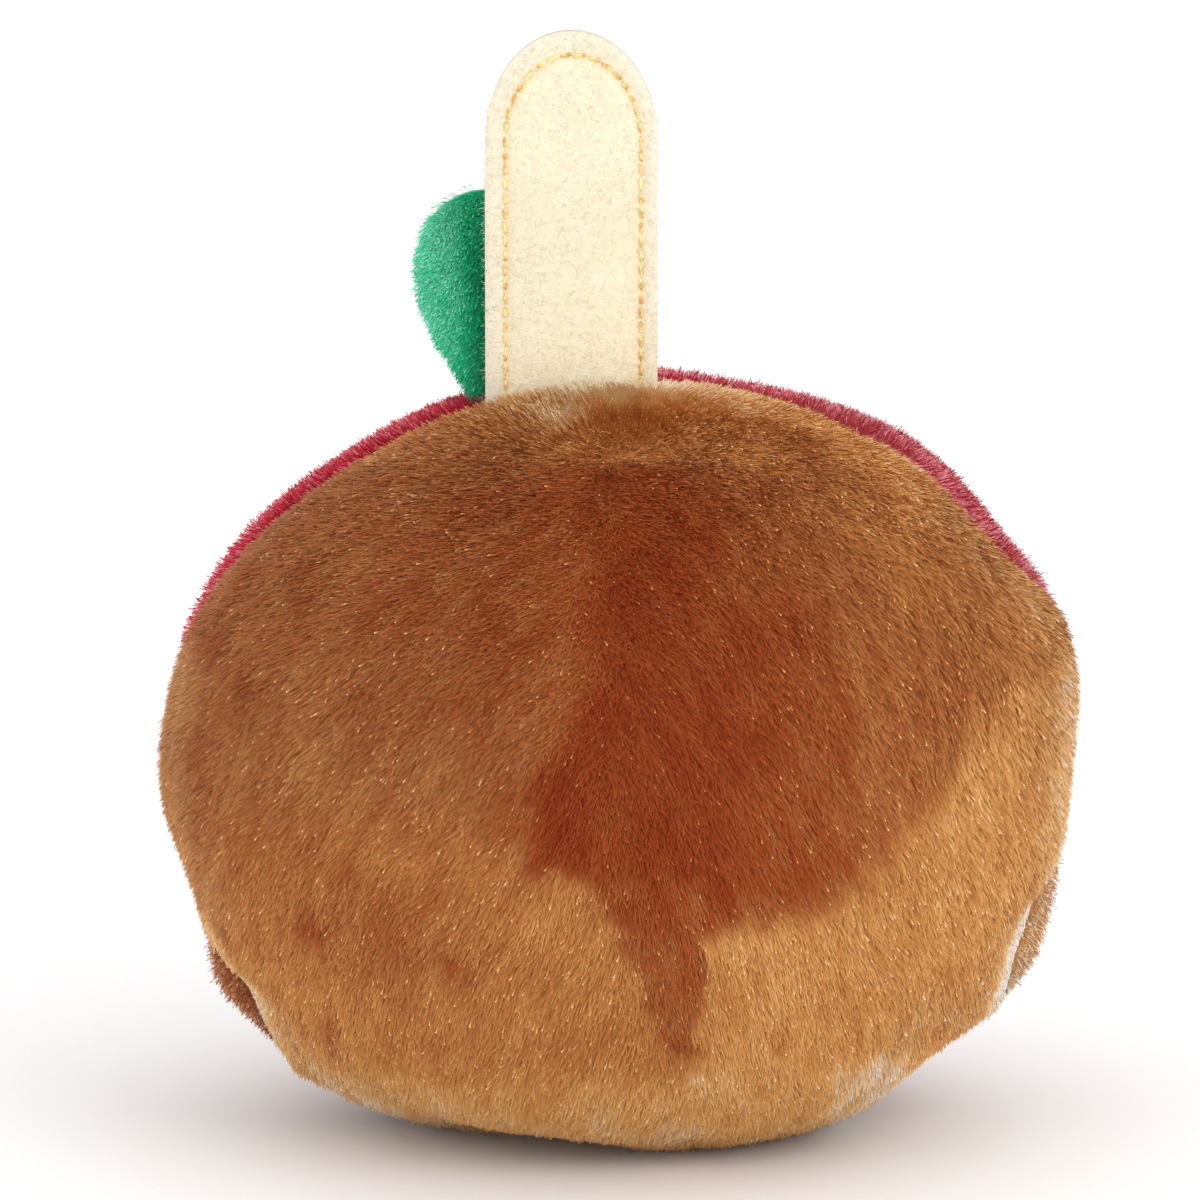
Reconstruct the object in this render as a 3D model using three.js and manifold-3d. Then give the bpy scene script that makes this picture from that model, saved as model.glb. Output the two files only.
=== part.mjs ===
// A palm-size plush caramel apple: a stuffed ball sewn from four pile panels, a flat felt
// stick and a stuffed leaf. Millimetres, +Z up. The origin is on the floor, below the middle
// of the ball. The all-caramel back faces -Y, and the red upper front faces +Y.

import * as THREE from "three";
import { mergeVertices } from "three/addons/utils/BufferGeometryUtils.js";
import Module from "manifold-3d";

// ---- Stuffed ball ----
const HALF_WIDTH = 50.9;
const HALF_DEPTH = 46.2;
const MIDDLE = 44.2; // height of the widest level
const RISE = 41.4; // from the widest level to the top
const FOOT_DEPTH = 3.1; // what the floor flattens of the round bottom
const DROP = MIDDLE + FOOT_DEPTH;
const FOOT_BLEND = 1.2; // rounding where the sides meet the floor
const ROUND_UP = 2.05; // 2 is an ellipse, more is fuller
const ROUND_LOW = 2.12;
const SKEW = 0.05; // the right side sits a little higher than the left
const CROWN = 1.35; // a panel swells this much between its seams
const CROWN_REACH = 9;
const PINCH = 1.1; // and a seam pulls in this much
const PINCH_REACH = 2.3;
const LOW_PINCH = 0.2; // share of it that is left low down
const POLE_EASE = 6; // crowns and waves fade out over this ring radius
const CENTRE_SEAM_EASE = 4.5; // the centre seam pulls in as a seam this far away does
const CENTRE_X = 0.12; // brings the middle of the lumpy ball onto the axis
const CENTRE_Y = -0.12;

// Uneven stuffing: longitude, polar angle and reach in degrees, height in mm
const LUMPS = [
  [-90, 58, 14, 1.3],
  [-92, 76, 13, 1.3],
  [-90, 93, 10, 1.0],
  [-88, 107, 9, -2.5],
  [-86, 122, 9, 1.1],
  [-80, 142, 13, 0.9],
  [-80, 135, 6, 1.4],
  [90, 40, 12, 0.2],
  [90, 56, 12, -2.5],
  [90, 76, 13, 2.1],
  [88, 120, 9, 1.3],
  [88, 127, 5, 1.5],
  [73, 136, 6.5, -2.0],
  [88, 135, 6.5, -3.8],
  [103, 136, 6.5, -2.0],
  [110, 20, 14, -1.2],
  [130, 26, 14, 0.6],
  [-130, 28, 14, -0.2],
  [-50, 154, 12, -1.0],
  [-22, 160, 12, -3.2],
  [50, 154, 12, -1.1],
];

// ---- Panels ----
const SEAM_GAP = 0.3; // between touching solids
const ROWS = 36;
const DRIP_ROW = 15; // row where the caramel's upper edge meets the side seams
const DRIP_WAVE = 6; // degrees, up and down
const DRIP_COUNT = 2.5; // waves from side to side
const BACK_COLUMNS = 16;
const FRONT_COLUMNS = 32;

// ---- Stick ----
const STICK_X = -5.4; // left of the ball's middle
const STICK_WIDTH = 19.7;
const STICK_TOP = 126.9;
const STICK_BOTTOM = 77;
const STICK_CAP = 12.6; // height of the rounded end
const STICK_EDGE = 2.2; // thickness of the two felt layers at the edge
const STICK_MIDDLE = 3.2;
const STITCH_INSET = 2.1; // from the outline to the topstitching, on average
const STITCH_SHIFT = 0.2; // the topstitching runs this far to the right
const STITCH_DIP = 0.35;

// ---- Leaf ----
const LEAF_BASE = [-14.6, 4.6, 80.5];
const LEAF_LENGTH = 27.4;
const LEAF_HALF_WIDTH = 8.6;
const LEAF_FULLEST = 0.68; // share of its length where it is widest
const LEAF_NECK = 1.4; // more is a longer, narrower neck
const LEAF_LEAN = 0.8; // the tip's shift to the right
const LEAF_EDGE = 1.2;
const LEAF_PUFF = 4.8; // thickness at its fullest
const LEAF_BACK_TILT = 7; // degrees, towards the front of the toy
const LEAF_WAVE = 0.7;
const POCKET_GAP = 0.3;

const CARAMEL = 0xb0723c;
const RED = 0xb8142f;
const GREEN = 0x1f9468;
const FELT = 0xf2e2bd;

const radians = THREE.MathUtils.degToRad;
const ease = (t) => THREE.MathUtils.smoothstep(t, 0, 1);
const bell = (x, centre, reach) => Math.exp(-(((x - centre) / reach) ** 2));

// Longitude 0 is the middle of the back and +90 the right side. Polar angle 0 is the top.
// Low down the side seams come round to the back, so that the front bulges past them. The right
// one starts on the front side of the top.
function leftSeam(polar) {
  const high = 2 * ease((polar - 15) / 22) - 4 * ease((polar - 45) / 30);
  const low = 18 * ease((polar - 109) / 12) - 10 * ease((polar - 118) / 16);
  return -90 + high + low;
}

function rightSeam(polar) {
  const high = 47 * (1 - ease((polar - 12) / 20)) + 7 * ease((polar - 44) / 18);
  const low = 15 * ease((polar - 102) / 7) - 11 * ease((polar - 115) / 11);
  return 85 + high - low;
}

function ringOf(polar) {
  const power = 2 / (polar <= 90 ? ROUND_UP : ROUND_LOW);
  return Math.abs(Math.sin(radians(polar))) ** power;
}

function levelOf(polar) {
  const up = polar <= 90;
  const c = Math.abs(Math.cos(radians(polar)));
  return up ? RISE * c ** (2 / ROUND_UP) : -DROP * c ** (2 / ROUND_LOW);
}

// The centre-back seam wanders from left of the middle at the top to right of it low down.
function centreSeam(polar) {
  const x = -2.3 + 11 * ease((polar - 70) / 85);
  const ring = Math.max(HALF_WIDTH * ringOf(polar), 1e-6);
  const sine = (x * Math.min(1, ring / 16)) / ring;
  return THREE.MathUtils.radToDeg(Math.asin(THREE.MathUtils.clamp(sine, -1, 1)));
}

const turnOf = (degrees) => ((((degrees + 180) % 360) + 360) % 360) - 180;

// The front, from the right seam (share 0) round to the left seam (share 1)
function frontLongitude(polar, share) {
  return THREE.MathUtils.lerp(rightSeam(polar), leftSeam(polar) + 360, share);
}

function dripPolar(share) {
  const side = (180 * DRIP_ROW) / ROWS;
  return side + DRIP_WAVE * Math.sin(2 * Math.PI * DRIP_COUNT * share) * Math.sin(Math.PI * share);
}

// How far a point of the surface is from the nearest seam, with the centre seam's ease added
function seamDistance(polar, longitude) {
  const across = HALF_WIDTH * ringOf(polar);
  const away = (seam) => radians(Math.abs(turnOf(longitude - seam(polar)))) * across;
  let nearest = Math.min(away(leftSeam), away(rightSeam), away(centreSeam) + CENTRE_SEAM_EASE);
  const right = rightSeam(polar);
  const round = leftSeam(polar) + 360 - right;
  const share = ((longitude - right + 720) % 360) / round;
  if (share <= 1) nearest = Math.min(nearest, radians(Math.abs(polar - dripPolar(share))) * MIDDLE);
  return nearest;
}

function skinPoint(polar, longitude) {
  const ring = ringOf(polar);
  const east = Math.sin(radians(longitude)) * ring;
  const north = -Math.cos(radians(longitude)) * ring;
  const up = levelOf(polar);
  const across = HALF_WIDTH * ring;
  const free = across / (across + POLE_EASE);
  const distance = seamDistance(polar, longitude);
  let swell = CROWN * (1 - Math.exp(-distance / CROWN_REACH));
  const pinch = PINCH * (1 - (1 - LOW_PINCH) * ease((polar - 96) / 10));
  swell -= pinch * bell(distance, 0, PINCH_REACH);
  const rise = up / MIDDLE;
  swell += 0.35 * Math.sin(3.3 * east + 2.1 * rise + 0.6) * Math.cos(2.7 * north - 1.3 * rise);
  swell += 0.25 * Math.sin(5.2 * rise - 3.1 * east + 1.2);
  swell *= free;
  for (const [lumpLongitude, lumpPolar, reach, height] of LUMPS) {
    const aside = turnOf(longitude - lumpLongitude) * Math.sin(radians(lumpPolar));
    swell += height * bell(Math.hypot(aside, polar - lumpPolar), 0, reach);
  }
  const point = new THREE.Vector3(HALF_WIDTH * east, HALF_DEPTH * north, up);
  const outward = new THREE.Vector3(east / HALF_WIDTH, north / HALF_DEPTH, up / RISE ** 2);
  point.addScaledVector(outward.normalize(), swell);
  point.x += CENTRE_X;
  point.y += CENTRE_Y;
  point.z += SKEW * point.x * ease((point.z + 36) / 45) + MIDDLE;
  if (point.z < -FOOT_BLEND) point.z = 0;
  else if (point.z < FOOT_BLEND) point.z = (point.z + FOOT_BLEND) ** 2 / (4 * FOOT_BLEND);
  return point;
}

// ---- Meshes from grids ----
// Steps from 0 to 1, closer together at both ends
const graded = (count) => Array.from({ length: count + 1 }, (_, i) => (1 - Math.cos((Math.PI * i) / count)) / 2);

function closedGeometry(points, triangles) {
  const loose = new THREE.BufferGeometry().setFromPoints(points);
  loose.setIndex(triangles.flat());
  const merged = mergeVertices(loose, 1e-4);
  const corners = merged.index.array;
  const kept = [];
  for (let i = 0; i < corners.length; i += 3) {
    const [a, b, c] = corners.slice(i, i + 3);
    if (a !== b && b !== c && c !== a) kept.push(a, b, c);
  }
  merged.setIndex(kept);
  return merged;
}

// One panel of the ball with the stuffing behind it: the outer skin, two side walls to the
// ball's axis, and a floor or ceiling where the panel stops short of a pole. The ceiling is
// lowered by topDrop.
function panelGeometry({ firstRow, lastRow, columns, polarAt, longitudeAt, shift, topDrop = 0 }) {
  const shares = graded(columns);
  const points = [];
  const triangles = [];
  const rows = lastRow - firstRow;
  const spine = (row) => row;
  const outer = (row, column) => rows + 1 + row * (columns + 1) + column;
  for (let row = firstRow; row <= lastRow; row++) {
    const polar = (180 * row) / ROWS;
    const atPole = row === 0 || row === ROWS;
    points.push(atPole ? skinPoint(polar, 0) : new THREE.Vector3(0, 0, MIDDLE + levelOf(polar)));
    if (points.at(-1).z < 0) points.at(-1).z = 0;
  }
  for (let row = firstRow; row <= lastRow; row++) {
    for (const share of shares) {
      const polar = polarAt(row, share);
      const atPole = row === 0 || row === ROWS;
      points.push(atPole ? points[row - firstRow].clone() : skinPoint(polar, longitudeAt(polar, share, row)));
    }
  }
  for (let row = 0; row < rows; row++) {
    for (let column = 0; column < columns; column++) {
      const a = outer(row, column);
      const b = outer(row, column + 1);
      const c = outer(row + 1, column + 1);
      const d = outer(row + 1, column);
      triangles.push([a, d, c], [a, c, b]);
    }
    triangles.push([spine(row), outer(row + 1, 0), outer(row, 0)]);
    triangles.push([spine(row), spine(row + 1), outer(row + 1, 0)]);
    triangles.push([spine(row), outer(row, columns), outer(row + 1, columns)]);
    triangles.push([spine(row), outer(row + 1, columns), spine(row + 1)]);
  }
  for (let column = 0; column < columns; column++) {
    triangles.push([spine(0), outer(0, column), outer(0, column + 1)]);
    triangles.push([spine(rows), outer(rows, column + 1), outer(rows, column)]);
  }
  const ceiling = [spine(0), ...shares.map((_, column) => outer(0, column))];
  ceiling.forEach((index) => (points[index].z -= topDrop));
  points.forEach((point) => point.add(shift));
  return closedGeometry(points, triangles);
}

// A flat piece standing in the XZ plane. Both faces are the same grid, with a rim between.
function slabGeometry({ rows, columns, centreAt, halfWidthAt, halfThicknessAt }) {
  const steps = graded(columns).map((t) => 2 * t - 1);
  const points = [];
  const triangles = [];
  const index = (face, row, column) => (face * (rows.length) + row) * (columns + 1) + column;
  for (const side of [-1, 1]) {
    for (const row of rows) {
      const halfWidth = halfWidthAt(row);
      for (const step of steps) {
        const point = centreAt(row, step * halfWidth);
        point.y += side * halfThicknessAt(row, step * halfWidth, halfWidth);
        points.push(point);
      }
    }
  }
  const lastRow = rows.length - 1;
  for (let row = 0; row < lastRow; row++) {
    for (let column = 0; column < columns; column++) {
      for (const face of [0, 1]) {
        const a = index(face, row, column);
        const b = index(face, row, column + 1);
        const c = index(face, row + 1, column + 1);
        const d = index(face, row + 1, column);
        triangles.push(...(face ? [[a, c, b], [a, d, c]] : [[a, b, c], [a, c, d]]));
      }
    }
    for (const column of [0, columns]) {
      const a = index(0, row, column);
      const b = index(0, row + 1, column);
      const c = index(1, row + 1, column);
      const d = index(1, row, column);
      triangles.push(...(column ? [[a, d, c], [a, c, b]] : [[a, b, c], [a, c, d]]));
    }
  }
  for (let column = 0; column < columns; column++) {
    for (const row of [0, lastRow]) {
      const a = index(0, row, column);
      const b = index(0, row, column + 1);
      const c = index(1, row, column + 1);
      const d = index(1, row, column);
      triangles.push(...(row ? [[a, b, c], [a, c, d]] : [[a, c, b], [a, d, c]]));
    }
  }
  return closedGeometry(points, triangles);
}

// ---- Stick ----
const STICK_STRAIGHT = STICK_TOP - STICK_CAP - STICK_BOTTOM;
// Rows 0 to 1 run up the straight part, and 1 to 2 round the cap.
const stickRows = [0, 0.2, 0.4, 0.6, 0.8, 1, 1.18, 1.36, 1.54, 1.7, 1.82, 1.91, 2];

function stickGeometry(swell = 0) {
  const capAngle = (row) => (Math.max(row - 1, 0) * Math.PI) / 2;
  const halfWidthAt = (row) => (STICK_WIDTH / 2 + swell) * Math.cos(capAngle(row));
  const heightAt = (row) => {
    const straight = STICK_BOTTOM - swell + (STICK_STRAIGHT + swell) * Math.min(row, 1);
    return straight + (STICK_CAP + swell) * Math.sin(capAngle(row));
  };
  return slabGeometry({
    rows: stickRows,
    columns: 18,
    halfWidthAt,
    centreAt: (row, aside) => new THREE.Vector3(STICK_X + aside, 0, heightAt(row)),
    halfThicknessAt: (row, aside) => {
      const insetOf = (x) => {
        const reach = Math.hypot((2 * x) / STICK_WIDTH, Math.sin(capAngle(row)));
        return Math.max(0, 1 - reach) * (STICK_WIDTH / 2);
      };
      const puff = (STICK_MIDDLE - STICK_EDGE) * ease((insetOf(aside) - 1) / 5);
      const dip = STITCH_DIP * bell(insetOf(aside - STITCH_SHIFT), STITCH_INSET, 0.7);
      return (STICK_EDGE + puff) / 2 - dip + swell;
    },
  });
}

// ---- Leaf ----
function leafGeometry(swell = 0) {
  const tilt = radians(LEAF_BACK_TILT);
  const rows = graded(14);
  const halfWidthAt = (row) => {
    const below = Math.sin((Math.PI / 2) * Math.min(1, row / LEAF_FULLEST)) ** LEAF_NECK;
    const past = Math.max(0, row - LEAF_FULLEST) / (1 - LEAF_FULLEST);
    return (LEAF_HALF_WIDTH * below + swell) * (1 - past ** 2.6) ** (1 / 2.6);
  };
  return slabGeometry({
    rows,
    columns: 14,
    halfWidthAt,
    centreAt: (row, aside) => {
      const along = LEAF_LENGTH * row;
      const lean = LEAF_LEAN * row;
      const wave = LEAF_WAVE * Math.sin(0.5 * aside + 3 * row);
      const x = LEAF_BASE[0] + lean + aside;
      const y = LEAF_BASE[1] + Math.sin(tilt) * along + wave * row;
      return new THREE.Vector3(x, y, LEAF_BASE[2] + Math.cos(tilt) * along);
    },
    halfThicknessAt: (row, aside, halfWidth) => {
      const inside = Math.max(0, 1 - (aside / Math.max(halfWidth, 1e-6)) ** 2);
      const lengthwise = Math.sin(Math.PI * row ** 0.8) ** 0.6;
      return (LEAF_EDGE + (LEAF_PUFF - LEAF_EDGE) * Math.sqrt(inside) * lengthwise) / 2 + swell;
    },
  });
}

// ---- Solids ----
const wasm = await Module();
wasm.setup();

function solidOf(geometry) {
  const vertProperties = new Float32Array(geometry.getAttribute("position").array);
  const triVerts = new Uint32Array(geometry.index.array);
  return new wasm.Manifold(new wasm.Mesh({ numProp: 3, vertProperties, triVerts }));
}

function geometryOf(solid) {
  const mesh = solid.getMesh();
  const geometry = new THREE.BufferGeometry();
  geometry.setAttribute("position", new THREE.BufferAttribute(mesh.vertProperties, 3));
  geometry.setIndex(new THREE.BufferAttribute(mesh.triVerts, 1));
  geometry.computeVertexNormals();
  return geometry;
}

const backPolar = (row) => (180 * row) / ROWS;
const frontPolar = (row, share) => {
  const drip = dripPolar(share);
  if (row <= DRIP_ROW) return (drip * row) / DRIP_ROW;
  return drip + ((180 - drip) * (row - DRIP_ROW)) / (ROWS - DRIP_ROW);
};
const between = (from, to) => (polar, share) => THREE.MathUtils.lerp(from(polar), to(polar), share);
const half = SEAM_GAP / 2;

const panels = {
  caramel_back_left: {
    colour: CARAMEL,
    firstRow: 0,
    lastRow: ROWS,
    columns: BACK_COLUMNS,
    polarAt: backPolar,
    longitudeAt: between(leftSeam, centreSeam),
    shift: new THREE.Vector3(-half, -half, 0),
  },
  caramel_back_right: {
    colour: CARAMEL,
    firstRow: 0,
    lastRow: ROWS,
    columns: BACK_COLUMNS,
    polarAt: backPolar,
    longitudeAt: between(centreSeam, rightSeam),
    shift: new THREE.Vector3(half, -half, 0),
  },
  apple_front: {
    colour: RED,
    firstRow: 0,
    lastRow: DRIP_ROW,
    columns: FRONT_COLUMNS,
    polarAt: frontPolar,
    longitudeAt: frontLongitude,
    shift: new THREE.Vector3(0, half, -SEAM_GAP), // down from the back panel that overhangs it
  },
  caramel_front: {
    colour: CARAMEL,
    firstRow: DRIP_ROW,
    lastRow: ROWS,
    columns: FRONT_COLUMNS,
    polarAt: frontPolar,
    longitudeAt: frontLongitude,
    shift: new THREE.Vector3(0, half, 0),
    topDrop: 2 * SEAM_GAP,
  },
};

// ---- The toy ----
const toy = new THREE.Group();
toy.name = "plush_caramel_apple";

function addPiece(name, geometry, colour, roughness) {
  const material = new THREE.MeshStandardMaterial({ color: colour, roughness, metalness: 0 });
  const mesh = new THREE.Mesh(geometry, material);
  mesh.name = name;
  toy.add(mesh);
}

const pockets = solidOf(stickGeometry(POCKET_GAP)).add(solidOf(leafGeometry(POCKET_GAP)));
for (const [name, panel] of Object.entries(panels)) {
  const whole = solidOf(panelGeometry(panel));
  addPiece(name, geometryOf(whole.subtract(pockets)), panel.colour, 0.9);
}
addPiece("stick", stickGeometry(), FELT, 0.95);
addPiece("leaf", leafGeometry(), GREEN, 0.85);

export default toy;
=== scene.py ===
"""Looks of a palm-size plush caramel apple: fine panels, pile, felt, stitches and stage.

Sizes are in millimetres until a mesh is made. Longitude 0 is the middle of the back (-Y) and
+90 the right side (+X). Polar angle 0 is the top. Angles are in degrees.
"""

from types import SimpleNamespace

import bpy
import numpy as np
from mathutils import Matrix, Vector


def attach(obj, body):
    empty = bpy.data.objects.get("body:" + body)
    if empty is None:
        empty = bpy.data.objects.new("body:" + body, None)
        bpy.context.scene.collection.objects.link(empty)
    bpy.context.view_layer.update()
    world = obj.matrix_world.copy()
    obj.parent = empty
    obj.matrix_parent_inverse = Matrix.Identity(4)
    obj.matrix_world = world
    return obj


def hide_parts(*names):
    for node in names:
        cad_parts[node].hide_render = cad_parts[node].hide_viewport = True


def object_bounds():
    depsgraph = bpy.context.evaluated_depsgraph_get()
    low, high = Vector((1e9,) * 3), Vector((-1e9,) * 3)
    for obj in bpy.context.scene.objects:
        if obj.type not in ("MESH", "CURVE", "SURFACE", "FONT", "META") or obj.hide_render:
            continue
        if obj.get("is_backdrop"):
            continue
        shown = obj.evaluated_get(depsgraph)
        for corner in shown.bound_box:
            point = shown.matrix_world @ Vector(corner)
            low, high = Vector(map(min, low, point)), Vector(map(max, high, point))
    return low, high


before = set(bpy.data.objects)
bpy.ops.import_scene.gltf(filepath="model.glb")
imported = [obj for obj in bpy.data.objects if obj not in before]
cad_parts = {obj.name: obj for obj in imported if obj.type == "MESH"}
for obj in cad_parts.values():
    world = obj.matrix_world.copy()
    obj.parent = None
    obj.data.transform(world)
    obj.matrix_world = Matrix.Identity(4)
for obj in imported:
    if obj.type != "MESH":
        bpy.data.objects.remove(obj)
cad_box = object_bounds()

MM = 0.001
UV_LAYER = "OFBake"
random = np.random.default_rng(11)

# ---- The stuffed ball, as in the CAD model ----
HALF_WIDTH = 50.9
HALF_DEPTH = 46.2
MIDDLE = 44.2  # height of the widest level
RISE = 41.4
FOOT_DEPTH = 3.1  # what the floor flattens of the round bottom
DROP = MIDDLE + FOOT_DEPTH
FOOT_BLEND = 1.2
ROUND_UP = 2.05
ROUND_LOW = 2.12
SKEW = 0.05  # the right side sits a little higher than the left
CROWN = 1.35  # a panel swells this much between its seams
CROWN_REACH = 9.0
PINCH = 1.1  # and a seam pulls in this much
PINCH_REACH = 2.3
LOW_PINCH = 0.2  # share of it that is left low down
POLE_EASE = 6.0
CENTRE = np.array([0.12, -0.12])  # brings the middle of the lumpy ball onto the axis
CENTRE_SEAM_EASE = 4.5  # the centre seam pulls in as a seam this far away does
LUMPS = (  # longitude, polar angle, reach, height
    (-90, 58, 14, 1.3),
    (-92, 76, 13, 1.3),
    (-90, 93, 10, 1.0),
    (-88, 107, 9, -2.5),
    (-86, 122, 9, 1.1),
    (-80, 142, 13, 0.9),
    (-80, 135, 6, 1.4),
    (90, 40, 12, 0.2),
    (90, 56, 12, -2.5),
    (90, 76, 13, 2.1),
    (88, 120, 9, 1.3),
    (88, 127, 5, 1.5),
    (73, 136, 6.5, -2.0),
    (88, 135, 6.5, -3.8),
    (103, 136, 6.5, -2.0),
    (110, 20, 14, -1.2),
    (130, 26, 14, 0.6),
    (-130, 28, 14, -0.2),
    (-50, 154, 12, -1.0),
    (-22, 160, 12, -3.2),
    (50, 154, 12, -1.1),
)
DRIP_SIDE = 75.0
DRIP_WAVE = 6.0
DRIP_COUNT = 2.5
RUMPLES = ((0.35, 11.0), (0.2, 4.5))  # height and scale

# ---- Stick and leaf, as in the CAD model ----
STICK_X = -5.4
STICK_WIDTH = 19.7
STICK_TOP = 126.9
STICK_BOTTOM = 77.0
STICK_CAP = 12.6
STICK_EDGE = 2.2
STICK_MIDDLE = 3.2
STITCH_INSET = 2.1  # from the outline to the topstitching, on average
STITCH_SHIFT = 0.2  # the topstitching runs this far to the right
STITCH_DIP = 0.35
SEWN_BELOW = 84.0  # below this the stick and the leaf are sewn in, and have no fibres or stitches
LEAF_BASE = np.array([-14.6, 4.6, 80.5])
LEAF_LENGTH = 27.4
LEAF_HALF_WIDTH = 8.6
LEAF_FULLEST = 0.68  # share of its length where it is widest
LEAF_NECK = 1.4  # more is a longer, narrower neck
LEAF_TIP = 2.6  # 2 is an ellipse, more is blunter
LEAF_LEAN = 0.8
LEAF_EDGE = 1.2
LEAF_PUFF = 4.8
LEAF_BACK_TILT = 7.0
LEAF_WAVE = 0.7

# ---- Camera ----
FRAME_MM = 138.0  # what the picture's width covers at the toy
CAMERA_DISTANCE = 1000.0
CAMERA_ELEVATION = 9.6
AIM = np.array([-2.13, 0.0, 61.2])
SENSOR = 36.0
TILT = np.radians(CAMERA_ELEVATION)
TO_CAMERA = np.array([0, -np.cos(TILT), np.sin(TILT)])
PICTURE_UP = np.array([0, np.sin(TILT), np.cos(TILT)])

# ---- Pile ----
CARAMEL_SINK = 0.35  # the pile's roots lie this far below its mean height
RED_SINK = 0.4
LEAF_SINK = 0.5
BACK_COUNT = 196_000
BACK_LENGTH = 1.75
GLINT_COUNT = 11_000
FRONT_COUNT = 118_000
FRONT_LENGTH = 1.9
CURL_PLACES = 110_000
RED_COUNT = 112_000
RED_LENGTH = 1.8
LEAF_COUNT = 24_000
LEAF_PILE = 1.3  # length of the leaf's pile
LEAF_COMB = np.array([-0.55, 0.0, -0.8])
FUZZ_COUNT = 11_000
SHED_COUNT = 26  # brown fibres caught in the felt
GROUND = 0.25  # the ground between the fibres has the painted shade of this place along a fibre
BLUNT_SHARE = 0.5
PLAIN, BROWN, PALE_GREY = range(3)  # the rows of shades
SHADE_ROWS = 3
ROW_SHARE = 0.94
ROOT_REACH = 0.55  # how far up a fibre the painted shade at its root reaches
KNEE = 0.72  # where along a fibre it bends
KNEE_WIDTH = 0.85
ROLL = 0.9  # radians that a ribbon is turned about its length, at most
GLINT_POWER = 5  # more keeps the glint nearer to the tip
FLOOR_EASE = 0.8
FLOOR_GAP = 0.05


def ease(x, start=0.0, over=1.0):
    """0 up to the start, then a smooth rise to 1 over a length."""
    t = np.clip((x - start) / over, 0.0, 1.0)
    return t * t * (3 - 2 * t)


def bell(x, centre, reach):
    return np.exp(-(((x - centre) / reach) ** 2))


def unit(v):
    return v / np.maximum(np.linalg.norm(v, axis=-1, keepdims=True), 1e-12)


class Noise:
    """Smooth value noise in three dimensions, about -1 to 1."""

    SIZE = 24

    def __init__(self, seed):
        self.values = np.random.default_rng(seed).uniform(-1, 1, (self.SIZE,) * 3)

    def __call__(self, points, scale):
        p = np.asarray(points) / scale + 500.0
        low = np.floor(p).astype(int)
        t = ease(p - low)
        total = 0.0
        for corner in np.ndindex(2, 2, 2):
            at = (low + corner) % self.SIZE
            weight = np.prod(np.where(corner, t, 1 - t), axis=-1)
            total = total + weight * self.values[at[..., 0], at[..., 1], at[..., 2]]
        return total


NOISES = [Noise(seed) for seed in range(1, 5)]


def swirl(points, scale):
    """A smooth random vector at each point."""
    return np.stack([noise(points, scale) for noise in NOISES[:3]], -1)


def seen(points):
    """Where the camera sees points: mm to the right of the picture's middle, and mm above it."""
    offset = points - AIM
    scale = CAMERA_DISTANCE / (CAMERA_DISTANCE - offset @ TO_CAMERA)
    return offset[..., 0] * scale, (offset @ PICTURE_UP) * scale


# ---- Shape of the ball ----
def left_seam(polar):
    high = 2 * ease(polar, 15, 22) - 4 * ease(polar, 45, 30)
    low = 18 * ease(polar, 109, 12) - 10 * ease(polar, 118, 16)
    return -90 + high + low


def right_seam(polar):
    high = 47 * (1 - ease(polar, 12, 20)) + 7 * ease(polar, 44, 18)
    low = 15 * ease(polar, 102, 7) - 11 * ease(polar, 115, 11)
    return 85 + high - low


def ring_of(polar):
    power = 2 / np.where(polar <= 90, ROUND_UP, ROUND_LOW)
    return np.abs(np.sin(np.radians(polar))) ** power


def level_of(polar):
    c = np.abs(np.cos(np.radians(polar)))
    return np.where(polar <= 90, RISE * c ** (2 / ROUND_UP), -DROP * c ** (2 / ROUND_LOW))


def centre_seam(polar):
    x = -2.3 + 11 * ease(polar, 70, 85)
    ring = np.maximum(HALF_WIDTH * ring_of(polar), 1e-6)
    sine = x * np.minimum(1, ring / 16) / ring
    return np.degrees(np.arcsin(np.clip(sine, -1, 1)))


def turn_of(degrees):
    return (degrees + 180) % 360 - 180


def drip_polar(share):
    wave = np.sin(2 * np.pi * DRIP_COUNT * share) * np.sin(np.pi * share)
    return DRIP_SIDE + DRIP_WAVE * wave


def seam_distances(polar, longitude):
    """How far a place is from the left, right and centre seams and from the drip edge."""
    across = HALF_WIDTH * ring_of(polar)
    away = [
        np.radians(np.abs(turn_of(longitude - seam(polar)))) * across
        for seam in (left_seam, right_seam, centre_seam)
    ]
    right = right_seam(polar)
    share = ((longitude - right) % 360) / (left_seam(polar) + 360 - right)
    to_drip = np.radians(np.abs(polar - drip_polar(share))) * MIDDLE
    return [*away, np.where(share <= 1, to_drip, 1e3)]


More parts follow.
